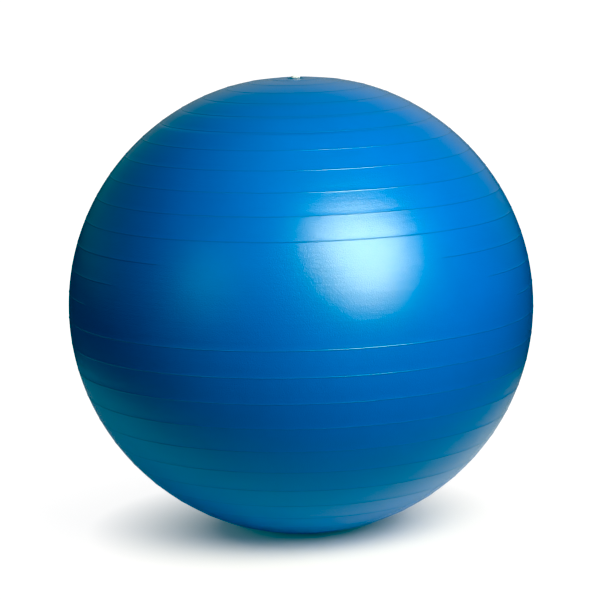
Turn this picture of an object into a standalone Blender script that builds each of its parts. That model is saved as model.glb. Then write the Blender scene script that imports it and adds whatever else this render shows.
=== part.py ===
"""Exercise ball of 65 cm, inflated and standing on a floor, with its valve uppermost.

Three pieces: a hollow soft PVC skin with raised ribs round it, a valve seat welded into its
top pole, and a stopper that pulls straight up out of the seat. Metres, +Z up. The origin is
the centre of the flat that the ball presses against the floor.
"""

import math

import bmesh
import bpy
from mathutils import Vector

# The inflated skin
BALL_DIAMETER = 0.650  # round the equator
HEIGHT_RATIO = 0.988  # pole to pole against the equator, before the dip and the floor's flat
WALL = 0.0010  # the skin's thickness
FLOOR_FLAT_RADIUS = 0.038  # assumed: wide enough for the ball to stand on a slight slope
VALVE_DIP = 0.0033  # how far the stiff valve holds the top pole in
VALVE_DIP_SPREAD = math.radians(13)  # how far from the pole the dip reaches

# Ribs: raised rings round the valve's axis, a little further apart away from the valve
RIB_COUNT = 26
RIB_STEP = math.radians(5.83)
RIB_STRETCH = math.radians(0.0041)
RIB_STRETCH_POWER = 2.5
RIB_WIDTH = 0.0020
RIB_HEIGHT = 0.0003

# The print panel, a smooth patch on the front (-Y) where three of the ribs stop. It widens
# downward: each rib's number, and how far from the middle of the front it stops.
PANEL_HALF_ANGLES = {12: math.radians(37), 13: math.radians(52), 14: math.radians(65)}
PANEL_FACES = math.radians(-90)

# The valve seat, which fills a hole in the top pole
TOUCHING_GAP = 0.0003  # kept between pieces that touch
SEAT_RADIUS = 0.0115
SEAT_LIP = 0.0003  # how far its rim stands above the skin
SEAT_LENGTH = 0.0165
SEAT_FLANGE_RADIUS = 0.0190
SEAT_FLANGE_THICKNESS = 0.0015
SEAT_TUBE_RADIUS = 0.0078
SEAT_SLOPE_TOP = 0.00225  # under the skin, where the flange's back starts to slope inward
SEAT_SLOPE_BOTTOM = 0.0045  # and where it meets the tube
BORE_MOUTH_RADIUS = 0.0048
BORE_END_RADIUS = 0.0042

# The stopper
HEAD_RADIUS = 0.0064
HEAD_THICKNESS = 0.0024
# The head's crowned outline: shares of its radius, and of its thickness down from its top
HEAD_OUTLINE = ((0.25, 0.0), (0.75, 0.10), (0.93, 0.25), (1.0, 0.55), (1.0, 0.85), (0.94, 1.0))
STEM_LENGTH = 0.0160
STEM_TOP_RADIUS = 0.0042
STEM_TIP_RADIUS = 0.0034
STEM_RIDGE = 0.0003  # how far its two gripping ridges stand out
STEM_RIDGE_HALF_LENGTH = 0.0010
STEM_RIDGES = (0.35, 0.68)  # along the stem
CORE_RADIUS = 0.0018  # the blind hole up the stem
CORE_ROOF_RADIUS = 0.0015
CORE_DEPTH = 0.0120

# Facets
SKIN_SEGMENTS = 48
VALVE_SEGMENTS = 32
TOP_STEPS = 3  # between the seat's hole and the first rib
MERGE_DISTANCE = 0.00002
SHARP_ANGLE = math.radians(50)

RADIUS = BALL_DIAMETER / 2
HALF_HEIGHT = RADIUS * HEIGHT_RATIO
HOLE_RADIUS = SEAT_RADIUS + TOUCHING_GAP
HOLE_POLAR = math.asin(HOLE_RADIUS / RADIUS)
FLOOR_POLAR = math.pi - math.asin(FLOOR_FLAT_RADIUS / RADIUS)
CENTRE_HEIGHT = -HALF_HEIGHT * math.cos(FLOOR_POLAR)


def clear_scene():
    for thing in list(bpy.data.objects):
        bpy.data.objects.remove(thing)


def plastic(name, colour, roughness):
    """A plain moulded plastic."""
    material = bpy.data.materials.new(name)
    material.use_nodes = True
    shader = material.node_tree.nodes["Principled BSDF"]
    shader.inputs["Base Color"].default_value = (*colour, 1.0)
    shader.inputs["Roughness"].default_value = roughness
    shader.inputs["Metallic"].default_value = 0.0
    return material


def turned(name, profile, segments, material, closed):
    """A body turned about the upright axis from (radius, height) points.

    A closed profile makes a ring. An open one has its two ends filled with flat discs.
    """
    bm = bmesh.new()
    points = [bm.verts.new((radius, 0.0, height)) for radius, height in profile]
    pairs = list(zip(points, points[1:]))
    if closed:
        pairs.append((points[-1], points[0]))
    lines = [bm.edges.new(pair) for pair in pairs]
    bmesh.ops.spin(
        bm,
        geom=points + lines,
        cent=(0, 0, 0),
        axis=(0, 0, 1),
        angle=math.tau,
        steps=segments,
        use_merge=True,
    )
    bmesh.ops.remove_doubles(bm, verts=bm.verts, dist=MERGE_DISTANCE)
    bmesh.ops.holes_fill(bm, edges=bm.edges, sides=segments)
    bmesh.ops.recalc_face_normals(bm, faces=bm.faces)

    mesh = bpy.data.meshes.new(name)
    bm.to_mesh(mesh)
    bm.free()
    mesh.materials.append(material)
    mesh.shade_smooth()
    mesh.set_sharp_from_angle(angle=SHARP_ANGLE)
    body = bpy.data.objects.new(name, mesh)
    bpy.context.scene.collection.objects.link(body)
    return body


def skin_point(polar, outward=0.0):
    """(radius, height) of the skin at an angle from the valve, moved outward from it."""
    normal = Vector((math.sin(polar) / RADIUS, math.cos(polar) / HALF_HEIGHT)).normalized()
    dip = VALVE_DIP * math.exp(-((polar / VALVE_DIP_SPREAD) ** 2))
    radius = RADIUS * math.sin(polar)
    height = CENTRE_HEIGHT + HALF_HEIGHT * math.cos(polar) - dip
    return radius + outward * normal.x, height + outward * normal.y


def rib_polar(number):
    """A rib's angle from the valve: the skin stretched more, and thinner, away from it."""
    return RIB_STEP * number + RIB_STRETCH * number**RIB_STRETCH_POWER


def top_polars():
    """Angles from the seat's hole to just above the first rib."""
    last = rib_polar(1) - RIB_WIDTH / RADIUS
    return [HOLE_POLAR + (last - HOLE_POLAR) * step / TOP_STEPS for step in range(TOP_STEPS + 1)]


def skin_profile():
    """From the floor's flat up the outside to the hole, then down the inside to the flat."""
    half_rib = RIB_WIDTH / 2 / RADIUS
    outside = [skin_point(polar) for polar in top_polars()]
    inside = [skin_point(polar, -WALL) for polar in top_polars()]
    for number in range(1, RIB_COUNT + 1):
        polar = rib_polar(number)
        outside.append(skin_point(polar - half_rib))
        outside.append(skin_point(polar, RIB_HEIGHT))
        outside.append(skin_point(polar + half_rib))
        inside.append(skin_point(polar, -WALL))
    outside.append(skin_point(FLOOR_POLAR))
    inside.append(skin_point(FLOOR_POLAR, -WALL))
    return outside[::-1] + inside


def flatten_panel(skin):
    """Lets the print panel's ribs down to the smooth skin on the front of the ball."""
    for number, half_angle in PANEL_HALF_ANGLES.items():
        crest_radius, crest_height = skin_point(rib_polar(number), RIB_HEIGHT)
        flat_radius, flat_height = skin_point(rib_polar(number))
        for vertex in skin.data.vertices:
            place = vertex.co
            off_crest = math.hypot(place.xy.length - crest_radius, place.z - crest_height)
            turned_off = math.atan2(place.y, place.x) - PANEL_FACES
            off_front = abs((turned_off + math.pi) % math.tau - math.pi)
            if off_crest < MERGE_DISTANCE and off_front < half_angle:
                place.xy *= flat_radius / crest_radius
                place.z = flat_height


def make_skin(material):
    skin = turned("ball_shell", skin_profile(), SKIN_SEGMENTS, material, closed=False)
    flatten_panel(skin)
    return skin


def seat_profile(skin_top):
    """A bush with a flange under the skin. skin_top is the skin's height at the hole."""
    under_skin = skin_top - WALL - 2 * TOUCHING_GAP
    flange_drop = TOUCHING_GAP  # the flange slopes away with the skin
    rim_top = skin_top + SEAT_LIP
    rim_round = SEAT_LIP + TOUCHING_GAP
    return [
        (BORE_MOUTH_RADIUS, rim_top),
        (SEAT_RADIUS - rim_round, rim_top),
        (SEAT_RADIUS, rim_top - rim_round),
        (SEAT_RADIUS, under_skin),
        (SEAT_FLANGE_RADIUS, under_skin - flange_drop),
        (SEAT_FLANGE_RADIUS, under_skin - flange_drop - SEAT_FLANGE_THICKNESS),
        (SEAT_RADIUS, under_skin - SEAT_SLOPE_TOP),
        (SEAT_TUBE_RADIUS, under_skin - SEAT_SLOPE_BOTTOM),
        (SEAT_TUBE_RADIUS, rim_top - SEAT_LENGTH),
        (BORE_END_RADIUS, rim_top - SEAT_LENGTH),
    ]


def stem_radius(along):
    return STEM_TOP_RADIUS + (STEM_TIP_RADIUS - STEM_TOP_RADIUS) * along


def plug_profile(head_base):
    """From the middle of the head's top, down the stem, to the roof of the stem's blind hole."""
    head_top = head_base + HEAD_THICKNESS
    tip = head_base - STEM_LENGTH
    profile = [
        (HEAD_RADIUS * across, head_top - HEAD_THICKNESS * down) for across, down in HEAD_OUTLINE
    ]
    profile.append((STEM_TOP_RADIUS, head_base))
    ridge = STEM_RIDGE_HALF_LENGTH / STEM_LENGTH
    for along in STEM_RIDGES:
        for place, proud in ((along - ridge, 0), (along, STEM_RIDGE), (along + ridge, 0)):
            profile.append((stem_radius(place) + proud, head_base - STEM_LENGTH * place))
    tip_round = (STEM_TIP_RADIUS - CORE_RADIUS) / 2
    return profile + [
        (STEM_TIP_RADIUS, tip + tip_round),
        (STEM_TIP_RADIUS - tip_round, tip),
        (CORE_RADIUS, tip),
        (CORE_ROOF_RADIUS, tip + CORE_DEPTH),
    ]


def make_seat(material):
    skin_top = skin_point(HOLE_POLAR)[1]
    return turned("valve_seat", seat_profile(skin_top), VALVE_SEGMENTS, material, closed=True)


def make_plug(material):
    """The stopper, made about its own origin under its head, on an empty on its pull axis."""
    plug = turned("valve_plug", plug_profile(0.0), VALVE_SEGMENTS, material, closed=False)
    pull_axis = bpy.data.objects.new("plug_pull_axis", None)
    bpy.context.scene.collection.objects.link(pull_axis)
    pull_axis.location.z = skin_point(HOLE_POLAR)[1] + SEAT_LIP + TOUCHING_GAP
    plug.parent = pull_axis
    return plug


def main():
    clear_scene()
    blue_vinyl = plastic("ball_vinyl", (0.002, 0.19, 0.56), 0.32)
    dark_vinyl = plastic("valve_vinyl", (0.01, 0.12, 0.30), 0.45)
    white_plastic = plastic("plug_plastic", (0.80, 0.86, 0.90), 0.40)
    make_skin(blue_vinyl)
    make_seat(dark_vinyl)
    make_plug(white_plastic)


main()
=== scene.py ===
"""The looks of the exercise ball: pearly blue vinyl with raised ribs, and its valve.

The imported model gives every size. The skin, the valve seat and the stopper are each made
again here as finer meshes of the same shape, with node materials, in a plain pale studio.
"""

import math

import bmesh
import bpy
import numpy as np
from mathutils import Matrix, Vector


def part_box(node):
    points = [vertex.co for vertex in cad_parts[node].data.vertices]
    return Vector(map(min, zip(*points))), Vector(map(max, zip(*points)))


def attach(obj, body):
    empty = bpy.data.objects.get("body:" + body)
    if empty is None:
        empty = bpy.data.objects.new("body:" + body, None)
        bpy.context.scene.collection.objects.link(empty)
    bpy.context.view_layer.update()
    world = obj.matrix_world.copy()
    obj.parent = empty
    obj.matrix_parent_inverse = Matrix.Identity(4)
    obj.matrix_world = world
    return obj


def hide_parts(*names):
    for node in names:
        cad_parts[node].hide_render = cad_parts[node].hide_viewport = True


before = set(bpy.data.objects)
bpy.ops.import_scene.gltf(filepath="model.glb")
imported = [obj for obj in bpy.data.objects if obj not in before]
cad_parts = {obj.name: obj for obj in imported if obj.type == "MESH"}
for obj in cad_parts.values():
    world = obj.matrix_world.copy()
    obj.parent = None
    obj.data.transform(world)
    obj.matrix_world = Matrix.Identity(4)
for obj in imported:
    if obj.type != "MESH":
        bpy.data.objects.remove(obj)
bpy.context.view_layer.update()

# ---------------------------------------------------------------- the design's own values
# The same driving values as the CAD design; everything that the frame can give comes from it.
HEIGHT_RATIO = 0.988
WALL = 0.0010
FLOOR_FLAT_RADIUS = 0.038
VALVE_DIP = 0.0033
VALVE_DIP_SPREAD = math.radians(13)
RIB_COUNT = 26
RIB_STEP = math.radians(5.83)
RIB_STRETCH = math.radians(0.0041)
RIB_STRETCH_POWER = 2.5
RIB_WIDTH = 0.0020
RIB_HEIGHT = 0.0003
PANEL_HALF_ANGLES = {12: math.radians(37), 13: math.radians(52), 14: math.radians(65)}
PANEL_FADE = math.radians(2.5)
PANEL_FACES = math.radians(-90)

skin_low, skin_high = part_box("ball_shell")
seat_low, seat_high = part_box("valve_seat")
plug_low, plug_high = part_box("valve_plug")

RADIUS = round((skin_high.x - skin_low.x) / 2 - RIB_HEIGHT, 3)
HALF_HEIGHT = RADIUS * HEIGHT_RATIO
FLOOR_POLAR = math.pi - math.asin(FLOOR_FLAT_RADIUS / RADIUS)
CENTRE_HEIGHT = -HALF_HEIGHT * math.cos(FLOOR_POLAR)
CENTRE = Vector((0, 0, CENTRE_HEIGHT))


# ---------------------------------------------------------------- mesh helpers
def finished(name, bm, material, body, replaces, sharp=math.radians(40)):
    """Turns a bmesh into a smooth piece that rides on a body in place of a CAD node."""
    bmesh.ops.recalc_face_normals(bm, faces=bm.faces)
    mesh = bpy.data.meshes.new(name)
    bm.to_mesh(mesh)
    bm.free()
    mesh.materials.append(material)
    mesh.shade_smooth()
    mesh.set_sharp_from_angle(angle=sharp)
    piece = bpy.data.objects.new(name, mesh)
    bpy.context.scene.collection.objects.link(piece)
    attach(piece, body)
    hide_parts(replaces)
    return piece


def rings_to_bmesh(rings, closed):
    """A skin through rings of points. Open skins have both ends filled with flat discs."""
    bm = bmesh.new()
    rows = [[bm.verts.new(point) for point in ring] for ring in rings]
    count = len(rows[0])
    pairs = list(zip(rows, rows[1:]))
    if closed:
        pairs.append((rows[-1], rows[0]))
    for upper, lower in pairs:
        for step in range(count):
            after = (step + 1) % count
            bm.faces.new((upper[step], upper[after], lower[after], lower[step]))
    if not closed:
        bm.faces.new(rows[0][::-1])
        bm.faces.new(rows[-1])
    return bm


def turned_rings(profile, segments):
    """Rings of points for a (radius, height) profile turned about the upright axis."""
    angles = [math.tau * step / segments for step in range(segments)]
    return [
        [(radius * math.cos(a), radius * math.sin(a), height) for a in angles]
        for radius, height in profile
    ]


def rounded(profile, closed, size, steps=5):
    """The profile with each corner that has a size rounded by a quadratic curve."""
    result = []
    last = len(profile) - 1
    for index, (point, reach) in enumerate(zip(profile, size)):
        if reach == 0 or (not closed and index in (0, last)):
            result.append(point)
            continue
        corner = Vector(point)
        before = Vector(profile[index - 1]) - corner
        after = Vector(profile[(index + 1) % len(profile)]) - corner
        start = corner + before.normalized() * min(reach, before.length * 0.49)
        end = corner + after.normalized() * min(reach, after.length * 0.49)
        for step in range(steps + 1):
            t = step / steps
            result.append(tuple(start.lerp(corner, t).lerp(corner.lerp(end, t), t)))
    return result


# ---------------------------------------------------------------- the skin
SKIN_SEGMENTS = 384
RIB_LEVELS = 10  # rings across one rib
BETWEEN_LEVELS = 5  # and between two ribs
FLOOR_LEVELS = 15  # and below the last rib
CONTACT_SOFTNESS = 0.0003  # how gently the skin turns into its flat on the floor
TOUCHING_GAP = 0.0003
SEAT_RADIUS = 0.0115
HOLE_POLAR = math.asin((SEAT_RADIUS + TOUCHING_GAP) / RADIUS)
END_POLAR = math.pi - 0.02  # a small disc closes the skin at its bottom
RIB_SHADE_ATTRIBUTE = "rib"  # how far up a rib each point stands, which sets the painted shade on the ribs


def rib_polar(number):
    """A rib's angle from the valve."""
    return RIB_STEP * number + RIB_STRETCH * number**RIB_STRETCH_POWER


def rib_lift(rib):
    """How much of a rib's height stands, round the ball: none across the print panel."""
    lift = np.ones(SKIN_SEGMENTS)
    if rib in PANEL_HALF_ANGLES:
        angles = np.arange(SKIN_SEGMENTS) * math.tau / SKIN_SEGMENTS
        off_front = np.abs((angles - PANEL_FACES + math.pi) % math.tau - math.pi)
        lift = np.clip((off_front - PANEL_HALF_ANGLES[rib]) / PANEL_FADE + 0.5, 0, 1)
        lift = lift * lift * (3 - 2 * lift)
    return lift


def skin_ring(polar, rib=None, crest=0.0, inward=0.0):
    """One ring of the skin. crest is the share of a rib's height that the ring stands at."""
    angles = np.arange(SKIN_SEGMENTS) * math.tau / SKIN_SEGMENTS
    normal = Vector((math.sin(polar) / RADIUS, math.cos(polar) / HALF_HEIGHT)).normalized()
    outward = np.full(SKIN_SEGMENTS, -inward)
    if rib is not None:
        outward = outward + RIB_HEIGHT * crest * rib_lift(rib)
    dip = VALVE_DIP * math.exp(-((polar / VALVE_DIP_SPREAD) ** 2))
    radius = RADIUS * math.sin(polar) + outward * normal.x
    height = CENTRE_HEIGHT + HALF_HEIGHT * math.cos(polar) - dip + outward * normal.y
    floor = inward
    above = height - floor
    height = floor + (above + np.sqrt(above**2 + CONTACT_SOFTNESS**2)) / 2
    return np.stack([radius * np.cos(angles), radius * np.sin(angles), height], axis=1)


def skin_levels():
    """(polar, rib, crest) of each ring down the outside, from the hole to the floor."""
    half_rib = RIB_WIDTH / 2 / RADIUS
    levels = []
    start = HOLE_POLAR
    for number in range(1, RIB_COUNT + 1):
        centre = rib_polar(number)
        for step in range(BETWEEN_LEVELS):
            polar = start + (centre - half_rib - start) * step / BETWEEN_LEVELS
            levels.append((polar, None, 0.0))
        for step in range(RIB_LEVELS + 1):
            across = 2 * step / RIB_LEVELS - 1
            crest = 0.5 + 0.5 * math.cos(math.pi * across)
            levels.append((centre + across * half_rib, number, crest))
        start = centre + half_rib
    for step in range(1, FLOOR_LEVELS + 1):
        levels.append((start + (END_POLAR - start) * step / FLOOR_LEVELS, None, 0.0))
    return levels


def make_skin(material):
    """From the floor up the outside to the hole, then down the inside to the floor."""
    levels = skin_levels()[::-1]
    inner = [HOLE_POLAR] + [rib_polar(n) for n in range(1, RIB_COUNT + 1)] + [END_POLAR]
    rings = [skin_ring(polar, rib, crest) for polar, rib, crest in levels]
    rings += [skin_ring(polar, inward=WALL) for polar in inner]
    bm = rings_to_bmesh(rings, closed=False)
    skin = finished("ball_skin", bm, material, "ball", "ball_shell")
    raised = [crest * rib_lift(rib) for polar, rib, crest in levels]
    raised += [np.zeros(SKIN_SEGMENTS)] * len(inner)
    # each point's share of a rib's height, which paints shade on the ribs in the vinyl's colour
    attribute = skin.data.attributes.new(RIB_SHADE_ATTRIBUTE, "FLOAT", "POINT")
    attribute.data.foreach_set("value", np.concatenate(raised))
    return skin


# ---------------------------------------------------------------- the valve
VALVE_SEGMENTS = 96
SEAT_LIP = 0.0003
SEAT_FLANGE_RADIUS = 0.0190
SEAT_FLANGE_THICKNESS = 0.0015
SEAT_TUBE_RADIUS = 0.0078
SEAT_SLOPE_TOP = 0.00225
SEAT_SLOPE_BOTTOM = 0.0045
BORE_MOUTH_RADIUS = 0.0048
BORE_END_RADIUS = 0.0042
# The corner at each point of the seat's outline is rounded by this much
SEAT_ROUNDING = (0.0005, 0.0007, 0.0003, 0.0004, 0.0005, 0.002, 0.002, 0.0005, 0.0003)

HEAD_RADIUS = 0.0064
HEAD_THICKNESS = 0.0024
# The head's outline from its middle to its edge: radius, how far down from its top, rounding
HEAD_OUTLINE = ((0.0004, 0.0001, 0), (0.0050, 0.0002, 0.002), (HEAD_RADIUS, 0.0006, 0.0008))
HEAD_EDGE_ROUNDING = 0.0005
STEM_TOP_RADIUS = 0.0042
STEM_TIP_RADIUS = 0.0034
STEM_TOP_ROUNDING = 0.0004
STEM_RIDGE = 0.0003
STEM_RIDGE_HALF_LENGTH = 0.0625  # as a share of the stem
STEM_RIDGES = (0.35, 0.68)
STEM_ROUNDING = 0.0005
CORE_RADIUS = 0.0018
CORE_ROOF_RADIUS = 0.0015
CORE_DEPTH = 0.012
CORE_ROUNDING = 0.0002
TIP_CORNER = (STEM_TIP_RADIUS - CORE_RADIUS) / 2
TIP_ROUNDING = 0.0003


def make_seat(material):
    """The bush in the skin's hole: rim, flange under the skin, tube and bore."""
    top, bottom = seat_high.z, seat_low.z
    under = top - SEAT_LIP - WALL - 2 * TOUCHING_GAP
    flange = under - TOUCHING_GAP
    profile = [
        (BORE_MOUTH_RADIUS, top),
        (SEAT_RADIUS, top),
        (SEAT_RADIUS, under),
        (SEAT_FLANGE_RADIUS, flange),
        (SEAT_FLANGE_RADIUS, flange - SEAT_FLANGE_THICKNESS),
        (SEAT_RADIUS, under - SEAT_SLOPE_TOP),
        (SEAT_TUBE_RADIUS, under - SEAT_SLOPE_BOTTOM),
        (SEAT_TUBE_RADIUS, bottom),
        (BORE_END_RADIUS, bottom),
    ]
    rings = turned_rings(rounded(profile, True, SEAT_ROUNDING), VALVE_SEGMENTS)
    bm = rings_to_bmesh(rings, closed=True)
    return finished("valve_bush", bm, material, "ball", "valve_seat")


def stem_radius(along):
    return STEM_TOP_RADIUS + (STEM_TIP_RADIUS - STEM_TOP_RADIUS) * along


def make_plug(material):
    """The stopper, from the middle of its head down the stem to the roof of its blind hole."""
    top, tip = plug_high.z, plug_low.z
    base = top - HEAD_THICKNESS
    length = base - tip
    corners = [(radius, top - down, rounding) for radius, down, rounding in HEAD_OUTLINE]
    corners.append((HEAD_RADIUS, base, HEAD_EDGE_ROUNDING))
    corners.append((STEM_TOP_RADIUS, base, STEM_TOP_ROUNDING))
    ridge = STEM_RIDGE_HALF_LENGTH
    for along in STEM_RIDGES:
        for place, proud in ((along - ridge, 0), (along, STEM_RIDGE), (along + ridge, 0)):
            corners.append((stem_radius(place) + proud, base - length * place, STEM_ROUNDING))
    corners += [
        (STEM_TIP_RADIUS, tip + TIP_CORNER, STEM_ROUNDING),
        (STEM_TIP_RADIUS - TIP_CORNER, tip, TIP_ROUNDING),
        (CORE_RADIUS, tip, CORE_ROUNDING),
        (CORE_ROOF_RADIUS, tip + CORE_DEPTH, 0),
    ]
    profile = [(radius, height) for radius, height, rounding in corners]
    size = [rounding for radius, height, rounding in corners]
    rings = turned_rings(rounded(profile, False, size), VALVE_SEGMENTS)
    bm = rings_to_bmesh(rings, closed=False)
    return finished("stopper", bm, material, "plug", "valve_plug")


# ---------------------------------------------------------------- materials
def new_material(name):
    material = bpy.data.materials.new(name)
    material.use_nodes = True
    nodes = material.node_tree.nodes
    return material, nodes, material.node_tree.links, nodes["Principled BSDF"]


def noise_node(nodes, links, vector, scale, detail=2.0, roughness=0.5):
    node = nodes.new("ShaderNodeTexNoise")
    node.inputs["Scale"].default_value = scale
    node.inputs["Detail"].default_value = detail
    node.inputs["Roughness"].default_value = roughness
    links.new(vector, node.inputs["Vector"])
    return node


def bump_node(nodes, links, height, strength, distance, base=None):
    node = nodes.new("ShaderNodeBump")
    node.inputs["Strength"].default_value = strength
    node.inputs["Distance"].default_value = distance
    links.new(height, node.inputs["Height"])
    if base is not None:
        links.new(base.outputs["Normal"], node.inputs["Normal"])
    return node


def ramp_node(nodes, links, factor, low, high, low_at=0.35, high_at=0.65):
    node = nodes.new("ShaderNodeValToRGB")
    node.color_ramp.elements[0].position = low_at
    node.color_ramp.elements[0].color = (*low, 1)
    node.color_ramp.elements[1].position = high_at
    node.color_ramp.elements[1].color = (*high, 1)
    links.new(factor, node.inputs["Fac"])
    return node


def maths_node(nodes, links, kind, operation, first, second):
    """A maths node with one linked input and one plain value."""
    node = nodes.new(kind)
    node.operation = operation
    links.new(first, node.inputs[0])
    node.inputs[1].default_value = second
    return node


def length_node(nodes, links, vector):
    """How long a vector is."""
    node = nodes.new("ShaderNodeVectorMath")
    node.operation = "LENGTH"
    links.new(vector, node.inputs[0])
    return node


def fade_node(nodes, links, distance, span):
    """0 nearer than a span of distances and 1 beyond it."""
    node = nodes.new("ShaderNodeMapRange")
    node.interpolation_type = "SMOOTHSTEP"
    node.inputs["From Min"].default_value = span[0]
    node.inputs["From Max"].default_value = span[1]
    links.new(distance, node.inputs["Value"])
    return node


# The ball's vinyl
CLOUD_SCALE = 9.0  # soft patches of slightly different blue
CLOUD_BLUES = ((0.0, 0.098, 0.495), (0.0, 0.105, 0.525))
# painted shade: the ribs are coloured this darker blue so that they read as thin dark lines
RIB_SHADE_BLUE = (0.0, 0.070, 0.340)
GRAIN_SCALE = 700.0  # fine leather-like grain
GRAIN_ROUGHNESS = 0.6
GRAIN_STRENGTH = 0.50
GRAIN_DEPTH = 0.0006
MOULD_MARKS = (9.0, 9.0, 330.0)  # noise stretched round the ball into faint rings
MOULD_MARK_STRENGTH = 0.22
MOULD_MARK_DEPTH = 0.0004
VINYL_ROUGHNESS = 0.48
VINYL_SPECULAR = 1.0
VINYL_SHEEN_COLOUR = (0.27, 0.92, 0.62)  # its wide gloss is cyan
COAT_WEIGHT = 0.85
COAT_ROUGHNESS = 0.11
COAT_IOR = 1.55

# The valve's two plastics
SEAT_GRAIN_SCALE = 2200.0
SEAT_BLUES = ((0.004, 0.070, 0.200), (0.008, 0.090, 0.240))
SEAT_ROUGHNESS = 0.42
STOPPER_GRAIN_SCALE = 1500.0
STOPPER_WHITES = ((0.78, 0.84, 0.88), (0.84, 0.88, 0.90))
STOPPER_ROUGHNESS = 0.38
STOPPER_SOFTNESS = 0.15  # how much light passes into it
STOPPER_SOFT_REACH = 0.002
VALVE_GRAIN_DEPTH = 0.0001


def pearl_vinyl():
    """Pearly blue vinyl: a cyan gloss under a clear coat, grained, with painted shade on the ribs:
    a darker blue towards their crests.
    """
    material, nodes, links, shader = new_material("pearl_blue_vinyl")
    place = nodes.new("ShaderNodeTexCoord").outputs["Object"]
    cloud = noise_node(nodes, links, place, CLOUD_SCALE, 3.0)
    tint = ramp_node(nodes, links, cloud.outputs["Fac"], *CLOUD_BLUES)
    # painted shade: the colour is mixed towards a darker blue by how far up a rib each point
    # stands
    rib = nodes.new("ShaderNodeAttribute")
    rib.attribute_name = RIB_SHADE_ATTRIBUTE
    rib_shade = nodes.new("ShaderNodeMix")
    rib_shade.data_type = "RGBA"
    rib_shade.inputs["B"].default_value = (*RIB_SHADE_BLUE, 1)
    links.new(rib.outputs["Fac"], rib_shade.inputs["Factor"])
    links.new(tint.outputs["Color"], rib_shade.inputs["A"])
    links.new(rib_shade.outputs["Result"], shader.inputs["Base Color"])
    grain = noise_node(nodes, links, place, GRAIN_SCALE, roughness=GRAIN_ROUGHNESS)
    stretch = nodes.new("ShaderNodeMapping")
    stretch.inputs["Scale"].default_value = MOULD_MARKS
    links.new(place, stretch.inputs["Vector"])
    marks = noise_node(nodes, links, stretch.outputs["Vector"], 1.0)
    rings = bump_node(
        nodes, links, marks.outputs["Fac"], MOULD_MARK_STRENGTH, MOULD_MARK_DEPTH
    )
    bump = bump_node(nodes, links, grain.outputs["Fac"], GRAIN_STRENGTH, GRAIN_DEPTH, rings)
    links.new(bump.outputs["Normal"], shader.inputs["Normal"])
    links.new(bump.outputs["Normal"], shader.inputs["Coat Normal"])
    shader.inputs["Roughness"].default_value = VINYL_ROUGHNESS
    shader.inputs["Specular IOR Level"].default_value = VINYL_SPECULAR
    shader.inputs["Specular Tint"].default_value = (*VINYL_SHEEN_COLOUR, 1)
    shader.inputs["Coat Weight"].default_value = COAT_WEIGHT
    shader.inputs["Coat Roughness"].default_value = COAT_ROUGHNESS
    shader.inputs["Coat IOR"].default_value = COAT_IOR
    return material


def grained(nodes, links, shader, scale, colours, strength):
    """Gives a plain plastic a fine grain and two close colours."""
    place = nodes.new("ShaderNodeTexCoord").outputs["Object"]
    grain = noise_node(nodes, links, place, scale)
    tint = ramp_node(nodes, links, grain.outputs["Fac"], *colours)
    links.new(tint.outputs["Color"], shader.inputs["Base Color"])
    bump = bump_node(nodes, links, grain.outputs["Fac"], strength, VALVE_GRAIN_DEPTH)
    links.new(bump.outputs["Normal"], shader.inputs["Normal"])


def seat_vinyl():
    material, nodes, links, shader = new_material("valve_blue_vinyl")
    grained(nodes, links, shader, SEAT_GRAIN_SCALE, SEAT_BLUES, 0.2)
    shader.inputs["Roughness"].default_value = SEAT_ROUGHNESS
    return material


def stopper_plastic():
    material, nodes, links, shader = new_material("stopper_white_plastic")
    grained(nodes, links, shader, STOPPER_GRAIN_SCALE, STOPPER_WHITES, 0.15)
    shader.inputs["Roughness"].default_value = STOPPER_ROUGHNESS
    shader.inputs["Subsurface Weight"].default_value = STOPPER_SOFTNESS
    shader.inputs["Subsurface Radius"].default_value = (STOPPER_SOFT_REACH,) * 3
    return material


# ---------------------------------------------------------------- studio
def direction(azimuth, elevation):
    """A unit vector. Azimuth 0 is the front (-Y) and 90 is the right (+X), in degrees."""
    a, e = math.radians(azimuth), math.radians(elevation)
    return Vector((math.sin(a) * math.cos(e), -math.cos(a) * math.cos(e), math.sin(e)))


def facing_centre(place):
    """Axes at a place whose -Z looks at the ball's centre."""
    turn = (CENTRE - place).to_track_quat("-Z", "Y")
    return Matrix.Translation(place) @ turn.to_matrix().to_4x4()


# The key softbox's lit face, from its own centre: across towards the ball's right side, up
KEY_OUTLINE = [
    (-0.84, 0.14), (-0.83, 0.39), (-0.46, 0.58), (-0.10, 0.53), (0.18, 0.38), (0.34, 0.10),
    (0.23, -0.27), (0.0, -0.59), (-0.24, -0.67), (-0.50, -0.67), (-0.69, -0.35),
]
KEY_ROUNDING = 0.18
KEY_AZIMUTH = 42
KEY_ELEVATION = 32
KEY_DISTANCE = 1.6
KEY_STRENGTH = 12.0
KEY_COLOUR = (1.0, 1.0, 0.82)
KEY_MIDDLE = (-0.25, -0.05, 0)  # the cloth is dimmer here than at its edges
KEY_MIDDLE_SHARE = 0.86  # and this much of its full strength
KEY_FADE = (0.05, 0.60)  # distances from there over which it grows to full strength


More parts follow.
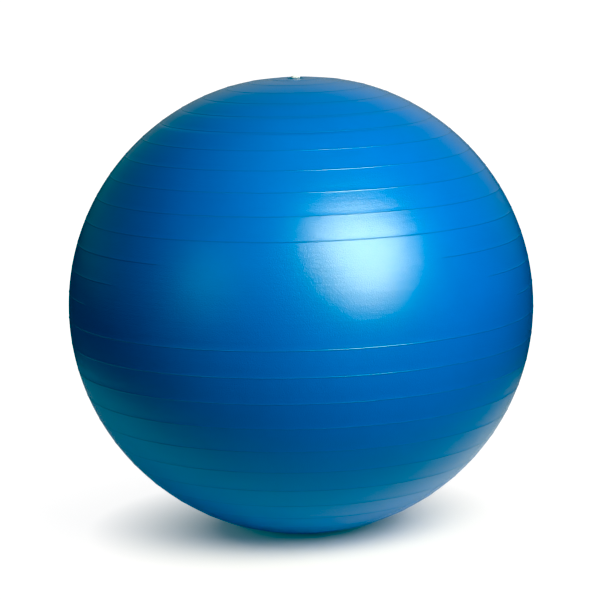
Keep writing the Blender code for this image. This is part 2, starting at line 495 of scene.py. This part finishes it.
def key_softbox():
    """A softbox with a cut-off corner, in front of the ball to its right and above it."""
    material = bpy.data.materials.new("softbox_cloth")
    material.use_nodes = True
    nodes, links = material.node_tree.nodes, material.node_tree.links
    nodes.clear()
    glow = nodes.new("ShaderNodeEmission")
    glow.inputs["Color"].default_value = (*KEY_COLOUR, 1)
    place = nodes.new("ShaderNodeTexCoord").outputs["Object"]
    moved = maths_node(nodes, links, "ShaderNodeVectorMath", "SUBTRACT", place, KEY_MIDDLE)
    distance = length_node(nodes, links, moved.outputs["Vector"])
    strength = fade_node(nodes, links, distance.outputs["Value"], KEY_FADE)
    strength.inputs["To Min"].default_value = KEY_STRENGTH * KEY_MIDDLE_SHARE
    strength.inputs["To Max"].default_value = KEY_STRENGTH
    links.new(strength.outputs["Result"], glow.inputs["Strength"])
    output = nodes.new("ShaderNodeOutputMaterial")
    links.new(glow.outputs["Emission"], output.inputs["Surface"])
    bm = bmesh.new()
    outline = rounded(KEY_OUTLINE, True, [KEY_ROUNDING] * len(KEY_OUTLINE), steps=6)
    bm.faces.new([bm.verts.new((x, y, 0)) for x, y in outline])
    mesh = bpy.data.meshes.new("key_softbox")
    bm.to_mesh(mesh)
    bm.free()
    mesh.materials.append(material)
    softbox = bpy.data.objects.new("key_softbox", mesh)
    bpy.context.scene.collection.objects.link(softbox)
    toward = direction(KEY_AZIMUTH, KEY_ELEVATION)
    softbox.matrix_world = facing_centre(CENTRE + toward * KEY_DISTANCE)
    softbox.visible_camera = False
    return softbox


FLOOR_HALF = 60.0
FLOOR_SEEN = 1.0  # how pale the floor is to the camera
FLOOR_ROUGHNESS = 0.9
# How pale the floor is to the ball, as painted bounce light: a bright painted pool of light behind
# it, and dark further off
BOUNCE_MIDDLE = (-0.10, 0.42, 0)  # the patch's centre
BOUNCE_NEAR = (0.90, 0.98, 1.15)
BOUNCE_FAR = (0.07, 0.075, 0.08)
BOUNCE_FADE = (0.45, 0.92)
BLANK_GLOW = 1.1
# The floor turns into the white of the room: distance from the ball, and how white
BLANK_FADE = ((0.0, 0.0), (0.12, 0.08), (0.22, 0.48), (0.31, 0.85), (0.5, 0.92), (1.6, 1.0))


def make_floor():
    """A white floor that keeps the ball's shadow and loses itself in the white room."""
    bm = bmesh.new()
    corners = [(-1, -1), (1, -1), (1, 1), (-1, 1)]
    bm.faces.new([bm.verts.new((x * FLOOR_HALF, y * FLOOR_HALF, 0)) for x, y in corners])
    mesh = bpy.data.meshes.new("studio_floor")
    bm.to_mesh(mesh)
    bm.free()
    material, nodes, links, shader = new_material("pale_floor")
    place = nodes.new("ShaderNodeTexCoord").outputs["Object"]
    away = length_node(nodes, links, place).outputs["Value"]
    # painted light: the floor's colour as the ball sees it is a bright pool of bounce light behind
    # the ball, fading to dark
    moved = maths_node(nodes, links, "ShaderNodeVectorMath", "SUBTRACT", place, BOUNCE_MIDDLE)
    off_patch = length_node(nodes, links, moved.outputs["Vector"])
    dimming = fade_node(nodes, links, off_patch.outputs["Value"], BOUNCE_FADE)
    far = dimming.outputs["Result"]
    bounce = ramp_node(nodes, links, far, BOUNCE_NEAR, BOUNCE_FAR, 0.0, 1.0)
    links.new(bounce.outputs["Color"], shader.inputs["Base Color"])
    shader.inputs["Roughness"].default_value = FLOOR_ROUGHNESS
    shader.inputs["Specular IOR Level"].default_value = 0.0
    pale = nodes.new("ShaderNodeBsdfDiffuse")
    pale.inputs["Color"].default_value = (FLOOR_SEEN, FLOOR_SEEN, FLOOR_SEEN, 1)
    blank = nodes.new("ShaderNodeEmission")
    blank.inputs["Strength"].default_value = BLANK_GLOW
    furthest = BLANK_FADE[-1][0]
    reach = maths_node(nodes, links, "ShaderNodeMath", "DIVIDE", away, furthest)
    fade = nodes.new("ShaderNodeValToRGB")
    stops = fade.color_ramp.elements
    for distance, white in BLANK_FADE[1:-1]:
        stops.new(distance / furthest)
    for stop, (distance, white) in zip(stops, BLANK_FADE):
        stop.color = (white, white, white, 1)
    links.new(reach.outputs[0], fade.inputs["Fac"])
    seen = nodes.new("ShaderNodeMixShader")
    links.new(fade.outputs["Color"], seen.inputs["Fac"])
    links.new(pale.outputs["BSDF"], seen.inputs[1])
    links.new(blank.outputs["Emission"], seen.inputs[2])
    ray = nodes.new("ShaderNodeLightPath")
    mix = nodes.new("ShaderNodeMixShader")
    links.new(ray.outputs["Is Camera Ray"], mix.inputs["Fac"])
    links.new(shader.outputs["BSDF"], mix.inputs[1])
    links.new(seen.outputs["Shader"], mix.inputs[2])
    links.new(mix.outputs["Shader"], nodes["Material Output"].inputs["Surface"])
    mesh.materials.append(material)
    floor = bpy.data.objects.new("studio_floor", mesh)
    bpy.context.scene.collection.objects.link(floor)
    return floor


# Soft lights of the room round the ball: azimuth, elevation, sharpness, strength
ROOM_LIGHTS = [
    (38, 24, 10.0, 0.4),
    (0, 90, 8.0, 0.5),
    (130, 30, 6.0, 0.25),
    (175, 20, 6.0, 0.42),
    (-48, 19, 40.0, 2.0),
    (-122, 2, 12.0, 0.22),
]
ROOM_COLOUR = (1.0, 1.0, 1.0)


def make_world():
    """A white room, dark to the ball except for its soft lights, and white to the camera."""
    world = bpy.data.worlds.new("studio")
    world.use_nodes = True
    bpy.context.scene.world = world
    nodes, links = world.node_tree.nodes, world.node_tree.links
    outward = nodes.new("ShaderNodeTexCoord").outputs["Generated"]
    total = None
    for azimuth, elevation, sharpness, strength in ROOM_LIGHTS:
        lamp = direction(azimuth, elevation)
        toward = maths_node(nodes, links, "ShaderNodeVectorMath", "DOT_PRODUCT", outward, lamp)
        ahead = maths_node(nodes, links, "ShaderNodeMath", "MAXIMUM", toward.outputs["Value"], 0.0)
        spread = maths_node(nodes, links, "ShaderNodeMath", "POWER", ahead.outputs[0], sharpness)
        glow = maths_node(nodes, links, "ShaderNodeMath", "MULTIPLY", spread.outputs[0], strength)
        if total is not None:
            both = nodes.new("ShaderNodeMath")
            links.new(total, both.inputs[0])
            links.new(glow.outputs[0], both.inputs[1])
            glow = both
        total = glow.outputs[0]
    background = nodes["Background"]
    background.inputs["Color"].default_value = (*ROOM_COLOUR, 1)
    links.new(total, background.inputs["Strength"])
    seen = nodes.new("ShaderNodeBackground")
    seen.inputs["Color"].default_value = (1, 1, 1, 1)
    ray = nodes.new("ShaderNodeLightPath")
    mix = nodes.new("ShaderNodeMixShader")
    links.new(ray.outputs["Is Camera Ray"], mix.inputs["Fac"])
    links.new(background.outputs["Background"], mix.inputs[1])
    links.new(seen.outputs["Background"], mix.inputs[2])
    links.new(mix.outputs["Shader"], nodes["World Output"].inputs["Surface"])


# ---------------------------------------------------------------- camera and picture
VIEW_FIELD = math.radians(12.92)
VIEW_DISTANCE = 3.721
VIEW_TILT = 9.64  # degrees that it looks down
VIEW_ROLL = math.radians(1.38)
AIM_ABOVE = math.radians(0.089)  # the ball's centre stands this far below the picture's
AIM_LEFT = math.radians(0.021)
BLACK_LEVEL = (0.085, 0.006, 0.0)  # a grade that takes the weak reds out


def make_camera():
    """Looks down a little at the ball, from the front."""
    data = bpy.data.cameras.new("camera")
    data.angle = VIEW_FIELD
    camera = bpy.data.objects.new("camera", data)
    bpy.context.scene.collection.objects.link(camera)
    level = Matrix.Rotation(math.radians(90 - VIEW_TILT), 4, "X")
    turn = level @ Matrix.Rotation(-VIEW_ROLL, 4, "Z")
    to_centre = Vector((math.tan(AIM_LEFT), -math.tan(AIM_ABOVE), -1)).normalized()
    place = CENTRE - (turn.to_3x3() @ to_centre) * VIEW_DISTANCE
    camera.matrix_world = Matrix.Translation(place) @ turn
    bpy.context.scene.camera = camera


make_camera()
make_floor()
make_world()
key_softbox()
make_skin(pearl_vinyl())
make_seat(seat_vinyl())
make_plug(stopper_plastic())

settings = bpy.context.scene.view_settings
settings.view_transform = "Standard"
settings.look = "None"
settings.use_curve_mapping = True
settings.curve_mapping.black_level = BLACK_LEVEL
settings.curve_mapping.update()
